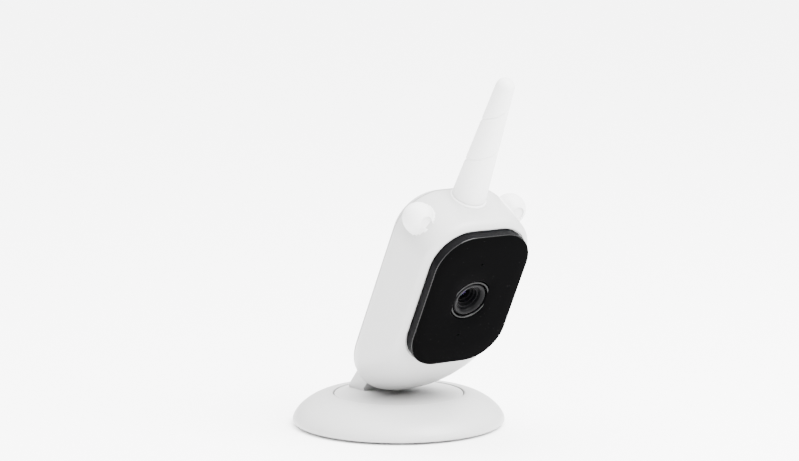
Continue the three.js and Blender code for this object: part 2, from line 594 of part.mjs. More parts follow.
put(head, 'front_housing', frontHousing(), MATERIAL.white);
put(head, 'back_cover', backCover(), MATERIAL.white);
put(head, 'left_ear', ear(-1), MATERIAL.white);
put(head, 'right_ear', ear(1), MATERIAL.white);
put(head, 'antenna_horn', antennaCover(), MATERIAL.white);
put(head, 'antenna_collar', antennaCollar(), MATERIAL.white);
put(head, 'antenna_element', antennaBar(1.2, -9, 43, 12), MATERIAL.brass);
COVER_SCREWS.forEach(([x, z], i) => {
  const coverScrew = screw(2.1, COVER_SCREW.headHeight, 1.1, 13.5).rotateX(Math.PI / 2);
  put(head, `cover_screw_${i + 1}`, coverScrew, MATERIAL.steel, x, COVER_SCREW.top, z);
});

put(head, 'face_panel', facePanel(), MATERIAL.black);
put(head, 'lens_ring', lensRing(), MATERIAL.ring);
put(head, 'lens_barrel', lensBarrel(), MATERIAL.ring);
put(head, 'lens_front_glass', lensGlass(), MATERIAL.glass);
put(head, 'lens_rear_glass', rearGlass(), MATERIAL.glass);
put(head, 'lens_holder', lensHolder(), MATERIAL.chip);
put(head, 'image_sensor', box([-4, 4], [13.4, 14.5], [-4, 4]), MATERIAL.chip);
put(head, 'led_board', ledBoard(), MATERIAL.board);
[[11, 12], [-11, 12], [13.4, 0], [-13.4, 0], [11, -12], [-11, -12]].forEach(([x, z], i) => {
  put(head, `infrared_led_${i + 1}`, led(), MATERIAL.led, x, 0, z);
});
put(head, 'light_sensor', box([-1.5, 1.5], [3.0, 4.3], [SENSOR_Z - 1.5, SENSOR_Z + 1.5]), MATERIAL.chip);
const microphone = outward(turnedAlongY([[0, 2.6], [2, 2.6], [2, 4.3], [0, 4.3]], 12));
put(head, 'microphone', microphone, MATERIAL.steel, 0, 0, -SENSOR_Z);
const mainBoard = geometryOf(solid(slab(roundedRectangle(17, 27, 2), 14.8, 16.2)));
put(head, 'main_board', mainBoard, MATERIAL.board, 0, 0, -3);
put(head, 'processor', box([-13, -2], [16.5, 17.9], [4, 15]), MATERIAL.chip);
put(head, 'wireless_module', box([2, 14], [16.5, 18.7], [3, 19]), MATERIAL.steel);
put(head, 'speaker', speaker(), MATERIAL.chip);
put(head, 'rear_board', box([-12, 12], [23.6, 24.8], [-29, -5]), MATERIAL.board);
put(head, 'ribbon_cable', box([-5, 5], [16.5, 23.3], [-26.4, -26]), MATERIAL.white);
put(head, 'inlet_socket', inletSocket(), MATERIAL.steel);
put(head, 'button_switch', box([BUTTON.x - 3, BUTTON.x + 3], [25.1, 28.4], [BUTTON.z - 3, BUTTON.z + 3]),
  MATERIAL.chip);
const slideSwitch = box([SLIDER.x - 3.4, SLIDER.x + 5.4], [25.1, 27.9], [SLIDER.z - 2.2, SLIDER.z + 2.2]);
put(head, 'slide_switch', slideSwitch, MATERIAL.steel);
put(head, 'pair_button', pairButton(), MATERIAL.grey);
put(head, 'power_switch_knob', switchKnob(), MATERIAL.grey);

const { x: pinY, y: pinZ } = pivotFromHead;
const pinProfile = [[0, -16.1], [PIN.head, -16.1], [PIN.head, -PIN.inner], [PIN.radius, -PIN.inner],
  [PIN.radius, 16.4], [0, 16.4]];
put(head, 'tilt_pin', outward(turned(pinProfile, 12)).rotateY(Math.PI / 2), MATERIAL.steel, 0, pinY, pinZ);
const pinClip = ring(1.7, 2.7, PIN.inner, 16.0, 16).rotateY(Math.PI / 2);
put(head, 'tilt_pin_clip', pinClip, MATERIAL.steel, 0, pinY, pinZ);
for (const [name, side] of [['left', -1], ['right', 1]]) {
  const washer = ring(1.7, 4.8, 11.3, 12.0, 16).rotateY(side * Math.PI / 2);
  put(head, `tilt_washer_${name}`, washer, MATERIAL.rubber, 0, pinY, pinZ);
}

export default camera;
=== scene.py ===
import json
import math

import bmesh
import bpy
import numpy as np
from mathutils import Matrix, Vector


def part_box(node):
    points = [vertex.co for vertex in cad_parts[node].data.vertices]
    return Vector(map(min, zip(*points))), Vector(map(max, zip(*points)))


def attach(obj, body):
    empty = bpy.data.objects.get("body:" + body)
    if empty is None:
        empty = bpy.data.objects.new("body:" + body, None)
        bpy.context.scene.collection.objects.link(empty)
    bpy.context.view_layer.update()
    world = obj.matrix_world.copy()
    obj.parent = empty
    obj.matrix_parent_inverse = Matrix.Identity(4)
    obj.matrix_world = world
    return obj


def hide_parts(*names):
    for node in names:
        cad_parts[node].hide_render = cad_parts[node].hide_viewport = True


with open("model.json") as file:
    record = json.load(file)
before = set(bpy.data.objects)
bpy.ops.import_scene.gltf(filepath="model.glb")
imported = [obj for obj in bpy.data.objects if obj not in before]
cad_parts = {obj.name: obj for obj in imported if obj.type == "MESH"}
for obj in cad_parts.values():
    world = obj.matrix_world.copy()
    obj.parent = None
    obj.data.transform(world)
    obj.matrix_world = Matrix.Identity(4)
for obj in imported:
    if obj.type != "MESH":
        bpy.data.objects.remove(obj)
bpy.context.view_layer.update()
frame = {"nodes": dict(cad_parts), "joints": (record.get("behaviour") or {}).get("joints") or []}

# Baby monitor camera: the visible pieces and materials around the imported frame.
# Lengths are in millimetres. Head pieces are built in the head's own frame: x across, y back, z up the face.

MM = 0.001
AXIS_POINT = 0.0001            # a radius that stands for the axis itself

# ---- driving dimensions --------------------------------------------------------------------------
GAP = 0.3                      # the gap between two fitted pieces
FORM = {                       # the head's form; each pair is at the front and at the rear
    "depth": 33.2, "front_round": 3.3, "rear_round": 13.4, "roll": 1.66,
    "wall": 2.2, "front_wall": 3.0, "seam": 26.3,
    "half": (26.0, 27.0), "top": (35.3, 36.8), "bottom": (31.1, 69.3),
    "top_corner": (19.2, 19.5), "bottom_corner": (19.2, 27.0),
}
PANEL_PROUD, PANEL_BACK = 3.7, 0.5
PANEL_CORNER = 15.7
PANEL_EDGE = 0.3               # the rounding of the window's front edge
RIM_GAP = 0.35                 # between the window and the rim of its recess
RECESS_FLOOR = PANEL_BACK + GAP
LENS_HOLE = 9.3
SENSOR_Z = 17.8                # the light sensor's and microphone's holes, above and below the lens
EAR = {"x": 23.1, "y": 16.5, "z": 29.3, "radius": 6.5, "blend": 0.8, "sunk": 0.07,
       "recess": 2.6, "recess_depth": 1.1, "recess_up": math.radians(16)}
ANTENNA = {"y": 17.4, "z": 36.2, "lean": math.radians(0.5), "root": 7.2, "tip": 3.9, "length": 57.3,
           "pitch": 19.35, "groove": 0.4, "groove_share": 0.02}
COVER_SCREWS = [(20.3, 20), (-20.3, 20), (19.3, -33), (-19.3, -33)]
SCREW_SEAT = 27.7
SPEAKER_Z = 9
BARREL = 5.5                   # radius of the neck's barrel round the tilt pin
NECK_FRONT, NECK_BACK = 10.4, 21.6
BASE = {"wall": 2.2, "dome_centre": 29.0, "dome_foot": 2.5, "dome_high": 11.2, "bulge": 1.6, "well": 27.9,
        "lip": 29.4, "shelf": (7.6, 9.6), "hub": 8.4}
SKY_LIGHT = 11.0

# ---- the head's frame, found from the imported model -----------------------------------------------
JOINTS = {joint["name"]: joint for joint in frame["joints"]}
face_normal = Vector(JOINTS["pair_button_press"]["axis"])
LEAN = math.atan2(-face_normal.z, -face_normal.y)
panel_box = [Vector(corner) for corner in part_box("face_panel")]
panel_middle = (panel_box[0] + panel_box[1]) / 2
HEAD_ORIGIN = panel_middle - face_normal * (PANEL_PROUD - PANEL_BACK) / 2 * MM
HEAD = Matrix.Translation(HEAD_ORIGIN) @ Matrix.Rotation(LEAN, 4, "X") @ Matrix.Scale(MM, 4)
WORLD = Matrix.Scale(MM, 4)


def head_box(node):
    """Lowest and highest corner of a CAD node in the head's own frame, in mm."""
    inverse = np.array(HEAD.inverted())
    points = np.array([vertex.co for vertex in frame["nodes"][node].data.vertices])
    local = points @ inverse[:3, :3].T + inverse[:3, 3]
    return local.min(0), local.max(0)


def world_box(node):
    """Lowest and highest corner of a CAD node in the row frame, in mm."""
    low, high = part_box(node)
    return np.array(low) / MM, np.array(high) / MM


# ---- the head's form -----------------------------------------------------------------------------
def head_shape(depth, wall=0.0):
    """Half width, top, bottom and the two corner radii of the head's outline at one depth."""
    share = min(max(depth / FORM["depth"], 0), 1)
    grow = (1 - (1 - share) ** FORM["roll"]) ** (1 / FORM["roll"])
    inset = wall
    for rounding, into in ((FORM["front_round"], FORM["front_round"] - depth),
                           (FORM["rear_round"], depth - FORM["depth"] + FORM["rear_round"])):
        if into > 0:
            radius = rounding - wall
            inset += radius * (1 - math.sqrt(max(0, 1 - (into / radius) ** 2)))
    half, top, bottom, top_corner, bottom_corner = (
        front + (rear - front) * grow - inset
        for front, rear in (FORM[key] for key in ("half", "top", "bottom", "top_corner", "bottom_corner")))
    return half, top, bottom, min(top_corner, half - 0.05), min(bottom_corner, half - 0.05)


def outline(half, top, bottom, top_corner, bottom_corner, steps=20):
    """Points in x and z round a rounded rectangle, counted the same way for every outline."""
    points = []
    for corner, (side_x, side_z, reach, radius) in enumerate((
            (1, 1, top, top_corner), (-1, 1, top, top_corner),
            (-1, -1, bottom, bottom_corner), (1, -1, bottom, bottom_corner))):
        for step in range(steps + 1):
            angle = (corner + step / steps) * math.pi / 2
            points.append((side_x * (half - radius) + radius * math.cos(angle),
                           side_z * (reach - radius) + radius * math.sin(angle)))
    return np.array(points)


def outline_distance(x, z, depth):
    """Signed distance in mm from a point to the head's outline at its depth; inside is negative."""
    half, top, bottom, top_corner, bottom_corner = head_shape(depth)
    reach, radius, height = (top, top_corner, z) if z > 0 else (bottom, bottom_corner, -z)
    across, up = abs(x) - half + radius, height - reach + radius
    return math.hypot(max(across, 0), max(up, 0)) + min(max(across, up), 0) - radius


def head_depth(x, z):
    """How far behind the flat front the head's surface is at this place near the front edge."""
    near, far = 0.0, 8.0
    for _ in range(26):
        middle = (near + far) / 2
        near, far = (near, middle) if outline_distance(x, z, middle) < 0 else (middle, far)
    return far


def head_ring(depth, wall=0.0):
    """The head's outline at one depth as a ring of points, a wall thickness inside its surface."""
    points = outline(*head_shape(depth, wall))
    return np.column_stack([points[:, 0], np.full(len(points), depth), points[:, 1]])


# ---- mesh helpers --------------------------------------------------------------------------------
def make_object(name, points, faces, place=HEAD):
    """A mesh object from points in mm, with close points joined and its faces turned outwards."""
    mesh = bpy.data.meshes.new(name)
    mesh.from_pydata([tuple(point) for point in points], [], faces)
    mesh.transform(place)
    piece = bpy.data.objects.new(name, mesh)
    bpy.context.scene.collection.objects.link(piece)
    work = bmesh.new()
    work.from_mesh(mesh)
    bmesh.ops.remove_doubles(work, verts=work.verts, dist=0.002 * MM)
    bmesh.ops.recalc_face_normals(work, faces=work.faces)
    work.to_mesh(mesh)
    work.free()
    return piece


def lofted(name, rings, place=HEAD, closed=False, capped=True):
    """A skin over rings of equally many points. Closed joins the last ring to the first."""
    count = len(rings[0])
    points = [point for ring in rings for point in ring]
    faces = []
    pairs = list(zip(range(len(rings) - 1), range(1, len(rings))))
    if closed:
        pairs.append((len(rings) - 1, 0))
    for near, far in pairs:
        for k in range(count):
            after = (k + 1) % count
            faces.append((near * count + k, near * count + after, far * count + after, far * count + k))
    if capped and not closed:
        for start in (0, (len(rings) - 1) * count):
            ring = points[start:start + count]
            points.append(np.mean(ring, axis=0))
            faces += [(start + k, start + (k + 1) % count, len(points) - 1) for k in range(count)]
    return make_object(name, points, faces, place)


def rounded(corners, steps=6, closed=True):
    """A path through (a, b, fillet) corners with each corner that has a fillet turned into an arc."""
    path = []
    for i, (a, b, *fillet) in enumerate(corners):
        here = Vector((a, b))
        if not fillet or (not closed and i in (0, len(corners) - 1)):
            path.append((a, b))
            continue
        back = Vector(corners[i - 1][:2]) - here
        ahead = Vector(corners[(i + 1) % len(corners)][:2]) - here
        half = back.angle(ahead) / 2
        if half > math.radians(88):
            path.append((a, b))
            continue
        reach = min(fillet[0] / math.tan(half), 0.49 * back.length, 0.49 * ahead.length)
        back.normalize()
        ahead.normalize()
        centre = here + (back + ahead).normalized() * reach / math.cos(half)
        start, end = here + back * reach - centre, here + ahead * reach - centre
        turn = start.angle_signed(end)
        for step in range(steps + 1):
            arm = Vector(start)
            arm.rotate(Matrix.Rotation(-turn * step / steps, 2))
            path.append(tuple(centre + arm))
    return path


def turned(name, profile, place=WORLD, sides=128, along="Z", centre=(0, 0, 0), closed=False):
    """A profile of (radius, height) points turned about an axis through centre."""
    rings = []
    for radius, height in profile:
        angles = np.arange(sides) * 2 * math.pi / sides
        first, second = radius * np.cos(angles), radius * np.sin(angles)
        level = np.full(sides, height)
        columns = {"Z": [first, second, level], "Y": [first, level, second]}[along]
        rings.append(np.column_stack(columns) + np.array(centre))
    return lofted(name, rings, place, closed=closed, capped=False)


def prism(name, path, start, end, along="X", place=WORLD):
    """A closed path of points, extruded along one axis."""
    rings = []
    for level in (start, end):
        ring = []
        for a, b in path:
            ring.append({"X": (level, a, b), "Y": (a, level, b), "Z": (a, b, level)}[along])
        rings.append(ring)
    count = len(path)
    faces = [tuple(range(count)), tuple(range(count, 2 * count))]
    faces += [(k, (k + 1) % count, count + (k + 1) % count, count + k) for k in range(count)]
    return make_object(name, rings[0] + rings[1], faces, place)


def rectangle(half_a, half_b, corner, centre=(0, 0), steps=8):
    """A closed path round a rectangle with rounded corners."""
    points = outline(half_a, half_b, half_b, corner, corner, steps)
    return [(a + centre[0], b + centre[1]) for a, b in points]


def disc_path(radius, centre=(0, 0), sides=48):
    """A closed path round a circle."""
    return [(centre[0] + radius * math.cos(2 * math.pi * k / sides),
             centre[1] + radius * math.sin(2 * math.pi * k / sides)) for k in range(sides)]


def settle(piece):
    """Applies the piece's modifiers to its mesh."""
    graph = bpy.context.evaluated_depsgraph_get()
    graph.update()
    old = piece.data
    piece.data = bpy.data.meshes.new_from_object(piece.evaluated_get(graph))
    piece.modifiers.clear()
    bpy.data.meshes.remove(old)


def cut(piece, *tools, operation="DIFFERENCE"):
    """Takes the tools out of the piece, or joins them to it, and removes the tools."""
    for tool in tools:
        modifier = piece.modifiers.new("cut", "BOOLEAN")
        modifier.operation = operation
        modifier.solver = "EXACT"
        modifier.object = tool
    settle(piece)
    for tool in tools:
        bpy.data.objects.remove(tool)
    return piece


def soften(piece, width, angle=40, segments=3):
    """Rounds the piece's sharp edges by a width in mm."""
    modifier = piece.modifiers.new("soft_edges", "BEVEL")
    modifier.width = width * MM
    modifier.segments = segments
    modifier.limit_method = "ANGLE"
    modifier.angle_limit = math.radians(angle)
    modifier.use_clamp_overlap = True
    settle(piece)
    return piece


def hand_over(piece, body, material, slot, *nodes, angle=35):
    """Smooth shading, material and the piece's place in the frame."""
    piece.data.materials.clear()
    piece.data.materials.append(material)
    piece.data.shade_smooth()
    piece.data.set_sharp_from_angle(angle=math.radians(angle))
    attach(piece, body)
    if nodes:
        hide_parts(*nodes)
    return piece


# ---- materials -----------------------------------------------------------------------------------
def new_material(name, color, roughness, **settings):
    """A Principled material; settings name the shader's sockets with underscores for spaces."""
    material = bpy.data.materials.new(name)
    material.use_nodes = True
    shader = material.node_tree.nodes["Principled BSDF"]
    shader.inputs["Base Color"].default_value = (*color, 1)
    shader.inputs["Roughness"].default_value = roughness
    for socket, value in settings.items():
        shader.inputs[socket.replace("_", " ")].default_value = value
    return material, material.node_tree, shader


def noise(tree, scale, detail=3.0, stretch=(1, 1, 1)):
    """A noise texture on the piece's own coordinates; scale is cycles per metre."""
    place = tree.nodes.new("ShaderNodeTexCoord")
    spread = tree.nodes.new("ShaderNodeMapping")
    spread.inputs["Scale"].default_value = stretch
    texture = tree.nodes.new("ShaderNodeTexNoise")
    texture.inputs["Scale"].default_value = scale
    texture.inputs["Detail"].default_value = detail
    tree.links.new(place.outputs["Object"], spread.inputs["Vector"])
    tree.links.new(spread.outputs["Vector"], texture.inputs["Vector"])
    return texture.outputs["Fac"]


def ramp(tree, source, stops):
    """A colour ramp over a 0 to 1 source; stops are (position, colour) pairs."""
    node = tree.nodes.new("ShaderNodeValToRGB")
    elements = node.color_ramp.elements
    while len(elements) < len(stops):
        elements.new(0.5)
    for element, (position, color) in zip(elements, stops):
        element.position = position
        element.color = (*color, 1) if len(color) == 3 else color
    tree.links.new(source, node.inputs["Fac"])
    return node.outputs["Color"]


def spread_values(tree, source, low, high):
    """Maps a 0 to 1 source to the range low to high."""
    node = tree.nodes.new("ShaderNodeMapRange")
    node.inputs["From Min"].default_value = 0.3
    node.inputs["From Max"].default_value = 0.7
    node.inputs["To Min"].default_value = low
    node.inputs["To Max"].default_value = high
    tree.links.new(source, node.inputs["Value"])
    return node.outputs["Result"]


def bump(tree, shader, source, height):
    """Adds a bump of a height in mm to the shader."""
    node = tree.nodes.new("ShaderNodeBump")
    node.inputs["Distance"].default_value = height * MM
    node.inputs["Strength"].default_value = 1.0
    tree.links.new(source, node.inputs["Height"])
    tree.links.new(node.outputs["Normal"], shader.inputs["Normal"])


def moulded_plastic(name, color, roughness, grain=0.004, shade=0.97, **settings):
    """Moulded plastic: spark grain, a slow change of gloss, and a faint change of tone."""
    material, tree, shader = new_material(name, color, roughness, **settings)
    tone = ramp(tree, noise(tree, 45, 2), [(0.3, tuple(part * shade for part in color)), (0.7, color)])
    tree.links.new(tone, shader.inputs["Base Color"])
    gloss = spread_values(tree, noise(tree, 220, 4), roughness - 0.04, roughness + 0.05)
    tree.links.new(gloss, shader.inputs["Roughness"])
    bump(tree, shader, noise(tree, 3200, 2), grain)
    return material


def gloss_black(name, tone, roughness, specular, ior=1.5):
    """Polished black plastic; the gloss drifts a little over the surface."""
    color = (tone, tone, tone * 1.1)
    material, tree, shader = new_material(name, color, roughness, Specular_IOR_Level=specular, IOR=ior)
    gloss = spread_values(tree, noise(tree, 90, 3), roughness * 0.8, roughness * 1.3)
    tree.links.new(gloss, shader.inputs["Roughness"])
    bump(tree, shader, noise(tree, 60, 1), 0.002)
    return material


def lens_metal():
    """Matt black of the lens barrel, with a fine grain."""
    color = (0.002, 0.002, 0.0022)
    material, tree, shader = new_material("lens_barrel_black", color, 0.34, Specular_IOR_Level=0.04)
    tree.links.new(spread_values(tree, noise(tree, 900, 3), 0.28, 0.42), shader.inputs["Roughness"])
    bump(tree, shader, noise(tree, 2600, 2), 0.003)
    return material


def coated_glass(name, color):
    """Dark lens glass whose coating shifts from violet to green towards its edge."""
    material, tree, shader = new_material(name, color, 0.02, Specular_IOR_Level=0.6, Coat_Weight=1.0,
                                          Coat_Roughness=0.02)
    facing = tree.nodes.new("ShaderNodeLayerWeight")
    facing.inputs["Blend"].default_value = 0.35
    tint = ramp(tree, facing.outputs["Facing"], [(0.0, (0.004, 0.003, 0.008)), (0.45, (0.02, 0.012, 0.04)),
                                                (0.75, (0.01, 0.035, 0.03)), (1.0, (0.003, 0.003, 0.004))])
    tree.links.new(tint, shader.inputs["Base Color"])
    return material


def rubber(name, color):
    """Matt rubber with an uneven surface."""
    material, tree, shader = new_material(name, color, 0.82, Specular_IOR_Level=0.3)
    worn = tuple(0.8 * part for part in color)
    tree.links.new(ramp(tree, noise(tree, 300, 4), [(0.3, worn), (0.7, color)]), shader.inputs["Base Color"])
    bump(tree, shader, noise(tree, 1800, 3), 0.02)
    return material


def plated_metal(name, color, roughness):
    """Plated or drawn metal with fine scratches along one direction."""
    material, tree, shader = new_material(name, color, roughness, Metallic=1.0)
    streaks = noise(tree, 700, 3, stretch=(1, 1, 12))
    gloss = spread_values(tree, streaks, roughness - 0.08, roughness + 0.12)
    tree.links.new(gloss, shader.inputs["Roughness"])
    dull = tuple(0.86 * part for part in color)
    tree.links.new(ramp(tree, noise(tree, 160, 3), [(0.3, dull), (0.7, color)]), shader.inputs["Base Color"])
    bump(tree, shader, streaks, 0.003)
    return material


def circuit_board():
    """Solder mask with tracks and pads under it."""
    material, tree, shader = new_material("solder_mask_green", (0.012, 0.09, 0.04), 0.35)
    place = tree.nodes.new("ShaderNodeTexCoord")
    brick = tree.nodes.new("ShaderNodeTexBrick")
    brick.inputs["Scale"].default_value = 420
    brick.inputs["Mortar Size"].default_value = 0.04
    brick.inputs["Color1"].default_value = (0.010, 0.075, 0.035, 1)
    brick.inputs["Color2"].default_value = (0.014, 0.105, 0.048, 1)
    brick.inputs["Mortar"].default_value = (0.04, 0.2, 0.09, 1)
    tree.links.new(place.outputs["Object"], brick.inputs["Vector"])
    tree.links.new(brick.outputs["Color"], shader.inputs["Base Color"])
    bump(tree, shader, brick.outputs["Fac"], 0.02)
    return material


def speaker_cone():
    """The fibrous paper of a loudspeaker's cone."""
    material, tree, shader = new_material("speaker_cone", (0.02, 0.02, 0.022), 0.6)
    bump(tree, shader, noise(tree, 1500, 4), 0.03)
    return material


WHITE = moulded_plastic("white_plastic", (0.37, 0.37, 0.368), 0.4, grain=0.003, shade=0.985)
SATIN_WHITE = moulded_plastic("satin_white_plastic", (0.37, 0.37, 0.368), 0.7, shade=0.985,
                              Specular_IOR_Level=0.2)
# Painted light: a lighter white than the body's on the ears and the horn, standing in for the brighter light
# they catch.
PAINTED_LIGHT_WHITE = moulded_plastic("painted_light_white_plastic", (0.6, 0.6, 0.597), 0.55, grain=0.005, shade=0.985)
GREY = moulded_plastic("grey_plastic", (0.46, 0.46, 0.46), 0.5)
CHIP = moulded_plastic("epoxy_black", (0.018, 0.018, 0.02), 0.5)
LED = moulded_plastic("tinted_epoxy", (0.03, 0.015, 0.04), 0.15, grain=0.001)
WINDOW = gloss_black("window_black", 0.0006, 0.06, 0.03, ior=1.15)
# Painted reflection: the window's side wall gets a lighter black than its front, standing in for the grey
# reflection along the wall.
WINDOW_SIDE_PAINTED_REFLECTION = gloss_black("window_side_painted_reflection", 0.003, 0.35, 0.03, ior=1.3)
WINDOW_EDGE = gloss_black("window_edge_black", 0.001, 0.12, 0.3)
TRIM = gloss_black("trim_black", 0.001, 0.12, 0.12)
LENS_BLACK = lens_metal()
GLASS = coated_glass("coated_front_glass", (0.01, 0.008, 0.02))
RUBBER = rubber("grey_rubber", (0.14, 0.14, 0.14))
STEEL = plated_metal("plated_steel", (0.55, 0.55, 0.57), 0.3)
BRASS = plated_metal("drawn_brass", (0.72, 0.5, 0.2), 0.3)
BOARD = circuit_board()
CONE = speaker_cone()


# ---- camera and studio ---------------------------------------------------------------------------
def set_camera():
    """A long lens, low and to the head's right, as a product picture has it."""
    azimuth, elevation, distance = math.radians(-34.65), math.radians(12.06), 1.278
    aim = Vector((0.0003, -0.0002, 0.0828))
    back = Vector((math.sin(azimuth) * math.cos(elevation), -math.cos(azimuth) * math.cos(elevation),
                   math.sin(elevation)))
    data = bpy.data.cameras.new("camera")
    data.lens = 135.2
    data.sensor_width = 36
    camera = bpy.data.objects.new("camera", data)
    bpy.context.scene.collection.objects.link(camera)
    camera.location = back * distance + Vector((0, 0, 0.001))
    camera.rotation_mode = "QUATERNION"
    camera.rotation_quaternion = (aim - camera.location).to_track_quat("-Z", "Y")
    bpy.context.scene.camera = camera


def area_light(name, place, target, size, power):
    """A rectangular light, aimed at its target; place and target are in metres."""
    data = bpy.data.lights.new(name, "AREA")
    data.shape = "RECTANGLE"
    data.size, data.size_y = size
    data.energy = power
    light = bpy.data.objects.new(name, data)
    bpy.context.scene.collection.objects.link(light)
    light.location = place
    light.rotation_mode = "QUATERNION"
    light.rotation_quaternion = (Vector(target) - Vector(place)).to_track_quat("-Z", "Y")


def set_sky():
    """A soft sky: bright overhead and dark towards the horizon, which keeps the outlines crisp."""
    world = bpy.data.worlds.new("studio")
    bpy.context.scene.world = world
    world.use_nodes = True
    tree = world.node_tree
    place = tree.nodes.new("ShaderNodeTexCoord")
    split = tree.nodes.new("ShaderNodeSeparateXYZ")
    tree.links.new(place.outputs["Generated"], split.inputs["Vector"])
    stops = [(height, (grey, grey, grey)) for height, grey in ((0.0, 0.03), (0.35, 0.2), (1.0, 1))]
    sky = ramp(tree, split.outputs["Z"], stops)
    soft = tree.nodes["Background"]
    soft.inputs["Strength"].default_value = SKY_LIGHT
    tree.links.new(sky, soft.inputs["Color"])


def set_studio():
    """The sky, one large light at the front and a pale floor."""
    set_sky()
    area_light("front_key", (0.238, -0.888, 0.969), (0, 0, 0.07), (0.9, 0.9), 70)
    bpy.ops.mesh.primitive_plane_add(size=40)
    floor = bpy.context.active_object
    floor.name = "studio_floor"
    material, _, _ = new_material("floor_white", (0.97, 0.97, 0.97), 1.0, Specular_IOR_Level=0.0)
    floor.data.materials.append(material)


# ---- head shells ---------------------------------------------------------------------------------
def panel_outline(grow=0.0):
    """The window's outline in x and z, grown by some mm."""
    low, high = head_box("face_panel")
    half, tall = (high[0] - low[0]) / 2 + grow, (high[2] - low[2]) / 2 + grow
    return outline(half, tall, tall, PANEL_CORNER + grow, PANEL_CORNER + grow)


def flat_ring(points, depth):
    """Points in x and z as a ring at one depth."""
    return np.column_stack([points[:, 0], np.full(len(points), depth), points[:, 1]])


def front_rim_rings():
    """Rings from the recess wall over the rounded rim and out to the head's rounding."""
    edge = 0.3
    rings = []
    for angle in (0, 30, 60, 90):
        turn = math.radians(angle)
        points = panel_outline(RIM_GAP + edge * (1 - math.cos(turn)))
        lip = panel_outline(RIM_GAP + edge)
        depths = [head_depth(*place) + edge * (1 - math.sin(turn)) for place in lip]
        rings.append(np.column_stack([points[:, 0], depths, points[:, 1]]))
    start = panel_outline(RIM_GAP + edge)
    end = outline(*head_shape(1.2))
    for share in (0.12, 0.25, 0.4, 0.55, 0.7, 0.85):
        points = start + (end - start) * share
        depths = [head_depth(*place) for place in points]
        rings.append(np.column_stack([points[:, 0], depths, points[:, 1]]))
    return rings


def form_depths(first, last):
    """Depths between two limits, closer together where the head rounds over."""
    front = [FORM["front_round"] * (1 - math.cos(math.radians(a))) for a in (50, 60, 70, 80, 90)]
    middle = list(np.linspace(FORM["front_round"], FORM["depth"] - FORM["rear_round"], 16))
    rear = [FORM["depth"] - FORM["rear_round"] * (1 - math.sin(math.radians(a))) for a in range(4, 90, 4)]
    return [depth for depth in sorted(set(front + middle + rear)) if first < depth < last]


def edge_rings(depth, inwards, radius=0.3, wall=0.0):
    """Rings that round the outer edge of a cut across the head; inwards is +1 towards the front."""
    rings = []
    for angle in (0, 30, 60, 90):
        turn = math.radians(angle)
        rings.append(head_ring(depth, wall + radius * (1 - math.cos(turn))))
        rings[-1][:, 1] = depth + inwards * radius * (1 - math.sin(turn))
    return rings


def pivot_place():
    """The tilt pivot in the head's own frame, as (y, z) in mm."""
    place = HEAD.inverted() @ Vector(JOINTS["head_tilt"]["pos_m"])
    return place.y, place.z


def neck_room_tool():
    """Room for the neck over the whole tilt: a round pocket and a wedge that opens down and back."""
    py, pz = pivot_place()
    neck_low, neck_high = world_box("neck_bracket")
    pivot_height = JOINTS["head_tilt"]["pos_m"][2] / MM
    tilt_low, tilt_high = (math.radians(value) for value in JOINTS["head_tilt"]["range_deg"])
    angle = math.atan2((NECK_FRONT + NECK_BACK) / 2, pivot_height - neck_low[2]) - LEAN
    front, rear = angle + tilt_low, angle + tilt_high
    room, reach = BARREL + 0.9, 32
    path = []
    for step in range(25):
        turn = rear + (math.pi + front - rear) * step / 24
        path.append((py + room * math.cos(turn), pz + room * math.sin(turn)))
    path.append((py - room * math.cos(front) + reach * math.sin(front),
                 pz - room * math.sin(front) - reach * math.cos(front)))
    path.append((py + room * math.cos(rear) + reach * math.sin(rear),
                 pz + room * math.sin(rear) - reach * math.cos(rear)))
    half = neck_high[0] + 1.2
    return prism("tool", path, -half, half, "X", HEAD)


def front_housing():
    """The front shell, from the window's recess over the rim to the seam and back along its inside."""
    seam = FORM["seam"] - GAP / 2
    wall = FORM["wall"]
    outer = [head_ring(depth) for depth in form_depths(1.2, seam - 0.35)]
    inner = [head_ring(depth, wall) for depth in reversed(form_depths(FORM["front_wall"] + 0.3, seam - 0.2))]
    window = outline(17, 27, 27, 11, 11)
    rings = [flat_ring(panel_outline(RIM_GAP), RECESS_FLOOR), *front_rim_rings(), head_ring(1.2), *outer,
             *edge_rings(seam, -1), head_ring(seam, wall), *inner, head_ring(FORM["front_wall"], wall),
             flat_ring(window, FORM["front_wall"]), flat_ring(window, RECESS_FLOOR)]
    shell = lofted("front_housing_shell", rings, closed=True)
    cut(shell, neck_room_tool())
    return hand_over(shell, "head", WHITE, "white_shell", "front_housing")


def middle_of(node):
    """The middle of a CAD node in the head's x and z."""
    low, high = head_box(node)
    return (low[0] + high[0]) / 2, (low[2] + high[2]) / 2


def hole_through_back(path, start=28):
    """A tool that cuts a path out of the back cover, from a depth inside it."""
    return prism("tool", path, start, 40, "Y", HEAD)


def back_holes():
    """Tools for the screw wells, the speaker's grille, the button, the switch and the inlet."""
    holes = [hole_through_back(disc_path(2.5, place), SCREW_SEAT) for place in COVER_SCREWS]
    for ring, count in ((0, 1), (2.7, 6), (5.4, 12)):
        for k in range(count):
            turn = 2 * math.pi * k / count
            centre = (ring * math.cos(turn), SPEAKER_Z + ring * math.sin(turn))
            holes.append(hole_through_back(disc_path(0.65, centre, 20)))
    holes.append(hole_through_back(disc_path(3.5, middle_of("pair_button"))))
    x, z = middle_of("power_switch_knob")
    travel = JOINTS["power_switch_slide"]["range_m"][1] / MM
    holes.append(hole_through_back(rectangle(1.8 + travel / 2, 1.7, 0.6, (x + travel / 2, z))))
    low, high = head_box("inlet_socket")
    half, tall = (high[0] - low[0]) / 2 + GAP, (high[2] - low[2]) / 2 + GAP
    holes.append(hole_through_back(rectangle(half, tall, tall - 0.1, (0, (low[2] + high[2]) / 2))))
    return holes


